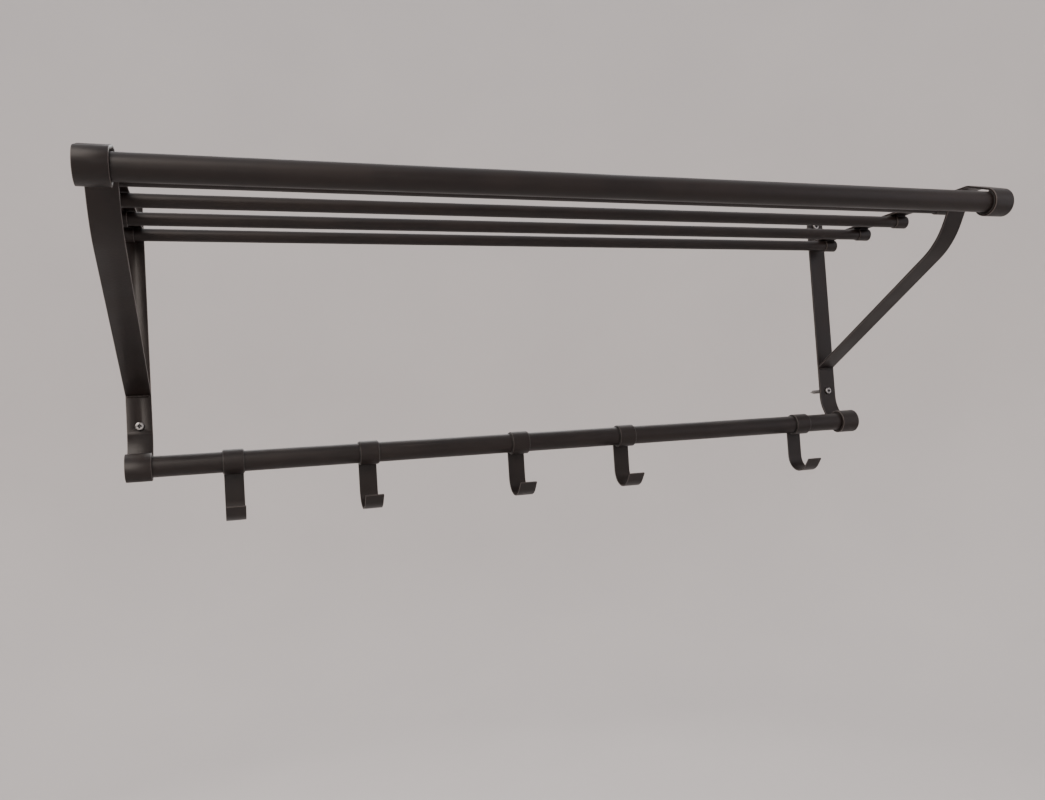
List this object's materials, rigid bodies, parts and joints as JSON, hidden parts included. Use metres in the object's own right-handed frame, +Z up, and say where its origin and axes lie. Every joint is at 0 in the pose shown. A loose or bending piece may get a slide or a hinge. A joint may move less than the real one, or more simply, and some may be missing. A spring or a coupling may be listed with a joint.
{
  "type": "wall coat rack",
  "caption": "Wall rack with a slatted shelf of round rods between bent flat-steel side frames, and a lower rail whose flat hooks slide along it and swing.",
  "frame": {"origin": "middle of the rectangle of the four wall screws, on the face of the wall", "axes": "+X along the wall to the right as seen by someone facing the rack, +Y into the wall, +Z up"},
  "size_m": [0.9, 0.343, 0.347],
  "materials": {
    "powder_coat": "warm black powder coat, semi-matt",
    "zinc": "dulled zinc plate",
    "black_plastic": "moulded, fine grained",
    "rubber_lining": "matt",
    "nylon": "moulded, satin"
  },
  "bodies": {
    "frame": {"front_tube": "powder_coat", "hook_rail": "powder_coat", "front_plug_left": "black_plastic", "front_lining_left": "rubber_lining", "rail_plug_left": "black_plastic", "rail_lining_left": "rubber_lining", "shelf_band_left": "powder_coat", "wall_strap_left": "powder_coat", "strut_left": "powder_coat", "wall_screw_left_upper": "zinc", "wall_screw_left_lower": "zinc", "rod_plug_left_1": "black_plastic", "ferrule_left_1": "powder_coat", "rod_plug_left_2": "black_plastic", "ferrule_left_2": "powder_coat", "rod_plug_left_3": "black_plastic", "ferrule_left_3": "powder_coat", "rod_plug_left_4": "black_plastic", "ferrule_left_4": "powder_coat", "front_plug_right": "black_plastic", "front_lining_right": "rubber_lining", "rail_plug_right": "black_plastic", "rail_lining_right": "rubber_lining", "shelf_band_right": "powder_coat", "wall_strap_right": "powder_coat", "strut_right": "powder_coat", "wall_screw_right_upper": "zinc", "wall_screw_right_lower": "zinc", "rod_plug_right_1": "black_plastic", "ferrule_right_1": "powder_coat", "rod_plug_right_2": "black_plastic", "ferrule_right_2": "powder_coat", "rod_plug_right_3": "black_plastic", "ferrule_right_3": "powder_coat", "rod_plug_right_4": "black_plastic", "ferrule_right_4": "powder_coat", "shelf_rod_1": "powder_coat", "shelf_rod_2": "powder_coat", "shelf_rod_3": "powder_coat", "shelf_rod_4": "powder_coat"},
    "glide_1": {"hook_glide_1": "nylon"},
    "hook_1": {"hook_1": "powder_coat"},
    "glide_2": {"hook_glide_2": "nylon"},
    "hook_2": {"hook_2": "powder_coat"},
    "glide_3": {"hook_glide_3": "nylon"},
    "hook_3": {"hook_3": "powder_coat"},
    "glide_4": {"hook_glide_4": "nylon"},
    "hook_4": {"hook_4": "powder_coat"},
    "glide_5": {"hook_glide_5": "nylon"},
    "hook_5": {"hook_5": "powder_coat"}
  },
  "joints": [
    {"name": "hook_1_slide", "type": "slide", "parent": "frame", "child": "glide_1", "axis": [1, 0, 0], "range_m": [-0.067, 0.0595]},
    {"name": "hook_1_swing", "type": "hinge", "parent": "glide_1", "child": "hook_1", "pos_m": [-0.34664, -0.031, -0.158], "axis": [-1, 0, 0], "range_deg": [-20, 170]},
    {"name": "hook_2_slide", "type": "slide", "parent": "frame", "child": "glide_2", "axis": [1, 0, 0], "range_m": [-0.0595, 0.0764]},
    {"name": "hook_2_swing", "type": "hinge", "parent": "glide_2", "child": "hook_2", "pos_m": [-0.20517, -0.031, -0.158], "axis": [-1, 0, 0], "range_deg": [-20, 170]},
    {"name": "hook_3_slide", "type": "slide", "parent": "frame", "child": "glide_3", "axis": [1, 0, 0], "range_m": [-0.0764, 0.0574]},
    {"name": "hook_3_swing", "type": "hinge", "parent": "glide_3", "child": "hook_3", "pos_m": [-0.02978, -0.031, -0.158], "axis": [-1, 0, 0], "range_deg": [-20, 170]},
    {"name": "hook_4_slide", "type": "slide", "parent": "frame", "child": "glide_4", "axis": [1, 0, 0], "range_m": [-0.0574, 0.1166]},
    {"name": "hook_4_swing", "type": "hinge", "parent": "glide_4", "child": "hook_4", "pos_m": [0.10755, -0.031, -0.158], "axis": [-1, 0, 0], "range_deg": [-20, 170]},
    {"name": "hook_5_slide", "type": "slide", "parent": "frame", "child": "glide_5", "axis": [1, 0, 0], "range_m": [-0.1166, 0.0504]},
    {"name": "hook_5_swing", "type": "hinge", "parent": "glide_5", "child": "hook_5", "pos_m": [0.36318, -0.031, -0.158], "axis": [-1, 0, 0], "range_deg": [-20, 170]}
  ]
}
